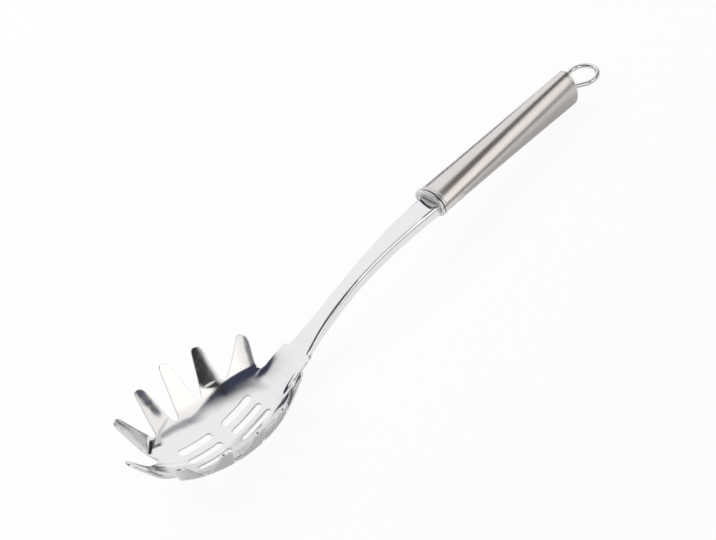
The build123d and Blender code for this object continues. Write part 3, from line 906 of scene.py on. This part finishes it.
class BuildTrim(bpy.types.Operator):
    """Build the collar with its two beads and slotted plate, the domed cap and the wire loop"""

    bl_idname = "pasta_server.build_trim"
    bl_label = "Build trim"

    def execute(self, context):
        sizes = context.scene.pasta_handle
        looks = context.scene.pasta_finish
        sheet = context.scene.pasta_head.sheet / MM
        colour = looks.trim_colour
        # Collar, cap and wire are polished smooth: the eye sees sharp reflections without ripples
        steel = polished_steel("polished trim steel", colour, looks.trim_roughness, TRIM_RIPPLE)
        # The plate keeps its satin finish: the eye sees soft grey and no sharp reflection
        satin = polished_steel("satin plate steel", colour, PLATE_ROUGHNESS, TRIM_RIPPLE)
        # Painted shade: the grooves beside each bead are coloured dark grey, standing in for the
        # shade and dark reflections in them
        groove_shade = polished_steel("groove steel with painted shade", GROOVE_PAINTED_SHADE, GROOVE_ROUGHNESS, TRIM_RIPPLE)

        points, faces, plate_row = self.collar(sizes)
        collar = make_piece("collar", points, faces, None, sheet)
        for finish in (steel, satin, groove_shade):
            collar.data.materials.append(finish)
        # The rows in the grooves get the dark grey of painted shade
        rows = np.arange(len(collar.data.polygons)) // sizes.columns
        kinds = np.select([rows == plate_row, np.isin(rows, PAINTED_SHADE_GROOVE_ROWS)], [1, 2], 0)
        collar.data.polygons.foreach_set("material_index", kinds.astype(np.int32))
        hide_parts("front_ferrule")

        points, faces = self.cap(sizes)
        cap = make_piece("end_cap", points, faces, None, sheet)
        cap.data.materials.append(steel)
        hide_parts("rear_cap")

        points, faces = self.wire_loop(sizes.wire / MM / 2, sizes.loop_radius / MM)
        loop = make_piece("wire_loop", points, faces, None, sheet)
        loop.data.materials.append(steel)
        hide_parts("hanging_loop")
        return {"FINISHED"}

    def collar(self, sizes):
        """Profile of two half-round beads and a recessed plate, carried round the handle.

        Loops follow it out over the beads, back behind the plate, through its slot and over its
        face to the first bead. The slot is a rounded rectangle, an oval of a high power.
        """
        columns = sizes.columns
        width = sizes.bead_width / MM
        rise = sizes.bead_rise / MM
        recess = sizes.recess / MM
        half = width / 2
        back = recess + PLATE_THICKNESS
        profile = arc_profile(half, half - rise, half, 180, 0, BEAD_POINTS)
        profile += arc_profile(COLLAR_LENGTH - half, half - rise, half, 180, 0, BEAD_POINTS)
        loops = grip_loops(profile + [(COLLAR_LENGTH, width), (back, width)], columns)
        slot_rise = float(middle_height(np.array(TANG_START))) - GRIP_FRONT_HEIGHT - PLATE_SLOT_DROP
        slot_size = (REAR_HALF + PLATE_SLOT_MARGIN, PLATE_SLOT_HALF)
        for run in (back, recess):
            loops.append(grip_loop(run, 0, columns, PLATE_SLOT_POWER, slot_size, slot_rise))
        plate_row = len(loops) - 1
        bevel = [(recess, width + PLATE_BEVEL), (recess - PLATE_BEVEL, width), (half, width)]
        loops += grip_loops(bevel, columns)
        points, faces = wrapped_grid(np.stack(loops), True)
        return points, faces, plate_row

    def cap(self, sizes):
        """Profile of the cap, carried round the handle: seam, side, round edge and flat end."""
        edge = sizes.cap_round / MM
        start = GRIP_LENGTH - CAP_THICKNESS
        profile = [(start, CAP_RIM), (start, CAP_SEAM + CAP_SEAM_DEPTH)]
        profile += arc_profile(start + CAP_SEAM, CAP_SEAM, CAP_SEAM, 180, 90, count=4)
        side = GRIP_LENGTH - edge
        profile += arc_profile(side, edge, edge, 90, CAP_EDGE_END, count=10)
        last = GRIP_REAR[0] - CAP_FLAT_END
        insets = np.linspace(edge + CAP_FLAT_START, last, num=8)
        profile += [(GRIP_LENGTH, inset) for inset in insets]
        points, faces = wrapped_grid(np.stack(grip_loops(profile, sizes.columns)), False)
        return points, closed_ends(faces, len(profile), sizes.columns)

    def wire_loop(self, wire_radius, loop_radius):
        """Round wire carried along a flat path: straight leg, bend, straight run, ring and back.

        Each point is the path's point, plus the wire's radius times the cosine of a turn to the
        side and times its sine upwards.
        """
        touch_side = loop_radius * cos(LOOP_LEG_ANGLE)
        touch_run = LOOP_REACH - loop_radius * sin(LOOP_LEG_ANGLE)
        corner_run = touch_run - (touch_side - LOOP_LEG_HALF) / tan(LOOP_LEG_ANGLE)
        bend_run = corner_run - LOOP_LEG_BEND * tan(LOOP_LEG_ANGLE / 2)
        centre = np.array([bend_run, LOOP_LEG_HALF + LOOP_LEG_BEND])
        turn = np.linspace(0, LOOP_LEG_ANGLE, num=10)
        bend = centre + LOOP_LEG_BEND * np.stack([np.sin(turn), -np.cos(turn)], 1)
        leg = np.linspace(-LOOP_TAIL, bend[0][0], num=8)[:-1]
        leg = np.stack([leg, np.full(len(leg), LOOP_LEG_HALF)], 1)
        turn = np.linspace(pi / 2 + LOOP_LEG_ANGLE, 0, num=60)
        ring = [LOOP_REACH, 0] + loop_radius * np.stack([np.cos(turn), np.sin(turn)], 1)
        half = np.concatenate([leg, bend, ring])
        path = np.concatenate([half, half[-2::-1] * [1, -1]])
        along = unit(np.gradient(path, axis=0))
        side = np.stack([-along[:, 1], along[:, 0]], 1)
        turn = np.linspace(0, 2 * pi, num=28, endpoint=False)
        sideways = (np.cos(turn) * wire_radius)[None, :, None]
        upwards = np.broadcast_to(np.sin(turn) * wire_radius, (len(path), len(turn)))[..., None]
        flat = path[:, None, :] + side[:, None, :] * sideways
        start = GRIP_FOOT + GRIP_ALONG * GRIP_LENGTH
        points = start + flat[..., :1] * GRIP_ALONG + flat[..., 1:] * GRIP_ACROSS
        points, faces = wrapped_grid(points + upwards * GRIP_UP, False)
        return points, closed_ends(faces, len(path), len(turn))


class BuildStage(bpy.types.Operator):
    """Build the floor, the room, the cards that reflections show, the lamp and the camera"""

    bl_idname = "pasta_server.build_stage"
    bl_label = "Build stage"

    def execute(self, context):
        self.floor(context)
        self.room(context)
        for name, colour, corners in CARDS:
            self.card(context, name, colour, corners)
        self.lamp(context, "overhead softbox", Vector(LAMP_PLACE))
        self.camera(context)
        context.scene.view_settings.view_transform = "Standard"
        return {"FINISHED"}

    def flat_object(self, context, name, corners, material):
        """Flat object between four corners in m."""
        mesh = bpy.data.meshes.new(name)
        mesh.from_pydata(corners, [], [(0, 1, 2, 3)])
        mesh.materials.append(material)
        flat = bpy.data.objects.new(name, mesh)
        context.scene.collection.objects.link(flat)
        return flat

    def floor(self, context):
        """White paper: the eye sees almost plain white and a trace of the object's shadow."""
        material, tree = new_material("white paper")
        rays = add_node(tree, "ShaderNodeLightPath")
        paper = add_node(tree, "ShaderNodeBsdfDiffuse", {"Color": hex_linear(PAPER_COLOUR)})
        glow = add_node(tree, "ShaderNodeEmission", {"Color": (1, 1, 1, 1), "Strength": 1.0})
        shares = []
        for ray, share in PAPER_GLOW:
            part = {0: rays.outputs[ray], 1: share}
            part = add_node(tree, "ShaderNodeMath", part, operation="MULTIPLY")
            shares.append(part.outputs[0])
        share = add_node(tree, "ShaderNodeMath", dict(enumerate(shares)), operation="MAXIMUM")
        shown = {0: share.outputs[0], 1: paper.outputs[0], 2: glow.outputs[0]}
        shown = add_node(tree, "ShaderNodeMixShader", shown)
        add_node(tree, "ShaderNodeOutputMaterial", {"Surface": shown.outputs[0]})
        signs = ((-1, -1), (1, -1), (1, 1), (-1, 1))
        corners = [(FLOOR_HALF * x, FLOOR_HALF * y, 0) for x, y in signs]
        floor = self.flat_object(context, "floor", corners, material)

    def card(self, context, name, colour, corners):
        """Flat card of one even tone that only reflections show, from its four corners in mm."""
        material, tree = new_material(name)
        surface = {"Color": hex_linear(colour), "Strength": 1.0}
        surface = add_node(tree, "ShaderNodeEmission", surface)
        add_node(tree, "ShaderNodeOutputMaterial", {"Surface": surface.outputs[0]})
        corners = (np.array(corners) * MM).tolist()
        card = self.flat_object(context, name, corners, material)
        card.visible_camera = False
        card.visible_diffuse = False
        card.visible_transmission = False
        card.visible_shadow = False

    def room(self, context):
        """World: white to the camera, half as bright to matte surfaces, and a room to polished
        ones.

        Each part of the room is found from how far a direction turns from the part's axis, with a
        soft edge. A white panel overhead and the white table are what the dark cards, a column, a
        frame and a window bar leave open. The softbox makes what lies in front a little brighter.
        """
        world = bpy.data.worlds.new("studio")
        world.use_nodes = True
        tree = world.node_tree
        tree.nodes.clear()
        rays = add_node(tree, "ShaderNodeLightPath")
        reflected = rays.outputs["Is Glossy Ray"]
        direction = add_node(tree, "ShaderNodeTexCoord").outputs["Generated"]

        values = {"reflected": reflected}
        for name, (axis, start, end) in ROOM_PARTS.items():
            turned = {0: direction, 1: axis}
            turned = add_node(tree, "ShaderNodeVectorMath", turned, operation="DOT_PRODUCT")
            edge = {"Value": turned.outputs["Value"], "From Min": start, "From Max": end}
            edge = add_node(tree, "ShaderNodeMapRange", edge, interpolation_type="SMOOTHSTEP")
            values[name] = edge.outputs["Result"]
        for name, operation, terms in ROOM_STEPS:
            first, *others = [values.get(term, term) for term in terms]
            for other in others:
                step = add_node(tree, "ShaderNodeMath", {0: first, 1: other}, operation=operation)
                first = step.outputs[0]
            values[name] = first

        shades = []
        for share, colours in (("column", CARD_SHADES), ("panel", WHITE_SHADES)):
            shade = {"Factor": values[share], 6: hex_linear(colours[0]), 7: hex_linear(colours[1])}
            shades.append(add_node(tree, "ShaderNodeMix", shade, data_type="RGBA").outputs[2])
        shade = {"Factor": values["white"], 6: shades[0], 7: shades[1]}
        shade = add_node(tree, "ShaderNodeMix", shade, data_type="RGBA")
        ambient = {"Value": rays.outputs["Is Diffuse Ray"], "To Min": 1.0, "To Max": AMBIENT}
        ambient = add_node(tree, "ShaderNodeMapRange", ambient).outputs[0]
        plain_white = add_node(tree, "ShaderNodeCombineXYZ", dict.fromkeys(range(3), ambient))
        seen = {"Factor": reflected, 6: plain_white.outputs[0], 7: shade.outputs[2]}
        seen = add_node(tree, "ShaderNodeMix", seen, data_type="RGBA")
        glow = {"Color": seen.outputs[2], "Strength": values["strength"]}
        glow = add_node(tree, "ShaderNodeBackground", glow)
        add_node(tree, "ShaderNodeOutputWorld", {"Surface": glow.outputs[0]})
        context.scene.world = world

    def lamp(self, context, name, place):
        """Square soft lamp that faces the object and lights a white sheet there to its share.

        Its power is the share of white times squared pi and the squared distance.
        """
        light = bpy.data.lights.new(name, "AREA")
        light.size = LAMP_SIZE
        light.energy = LAMP_BRIGHTNESS * pi**2 * place.length_squared
        lamp = bpy.data.objects.new(name, light)
        look = (-place).to_track_quat("-Z", "Y")
        lamp.matrix_world = Matrix.Translation(place) @ look.to_matrix().to_4x4()
        lamp.visible_glossy = False
        context.scene.collection.objects.link(lamp)

    def camera(self, context):
        """Camera at the photo's angle, rolled about its line of sight."""
        settings = context.scene.pasta_stage
        place = Vector(settings.camera_place)
        look = (Vector(settings.aim) - place).to_track_quat("-Z", "Y").to_matrix()
        rolled = look @ Matrix.Rotation(-settings.roll, 3, "Z")
        camera = bpy.data.objects.new("camera", bpy.data.cameras.new("camera"))
        camera.data.lens = settings.lens
        camera.data.sensor_width = SENSOR_MM
        camera.data.sensor_fit = "HORIZONTAL"
        camera.matrix_world = Matrix.Translation(place) @ rolled.to_4x4()
        context.scene.collection.objects.link(camera)
        context.scene.camera = camera


STEPS = (BuildHead, BuildTube, BuildTrim, BuildStage)
GROUPS = {
    "pasta_head": HeadSizes,
    "pasta_handle": HandleSizes,
    "pasta_finish": Finishes,
    "pasta_stage": StageSettings,
}


class ServerPanel(bpy.types.Panel):
    """Lists the settings and the steps in the sidebar"""

    bl_idname = "VIEW3D_PT_pasta_server"
    bl_label = "Pasta server"
    bl_space_type = "VIEW_3D"
    bl_region_type = "UI"
    bl_category = "Pasta server"

    def draw(self, context):
        for settings in GROUPS:
            group = getattr(context.scene, settings)
            box = self.layout.box()
            for name in group.bl_rna.properties.keys():
                if name not in ("rna_type", "name"):
                    box.prop(group, name)
        for step in STEPS:
            self.layout.operator(step.bl_idname)


def register():
    """Registers the settings, the steps and the panel."""
    for name, group in GROUPS.items():
        bpy.utils.register_class(group)
        setattr(bpy.types.Scene, name, PointerProperty(type=group))
    for step in STEPS:
        bpy.utils.register_class(step)
    bpy.utils.register_class(ServerPanel)


def unregister():
    """Takes back what register did."""
    bpy.utils.unregister_class(ServerPanel)
    for step in STEPS:
        bpy.utils.unregister_class(step)
    for name, group in GROUPS.items():
        delattr(bpy.types.Scene, name)
        bpy.utils.unregister_class(group)


def main():
    """Builds the object and its stage."""
    register()
    bpy.ops.pasta_server.build_head()
    bpy.ops.pasta_server.build_tube()
    bpy.ops.pasta_server.build_trim()
    bpy.ops.pasta_server.build_stage()


if __name__ == "__main__":
    main()
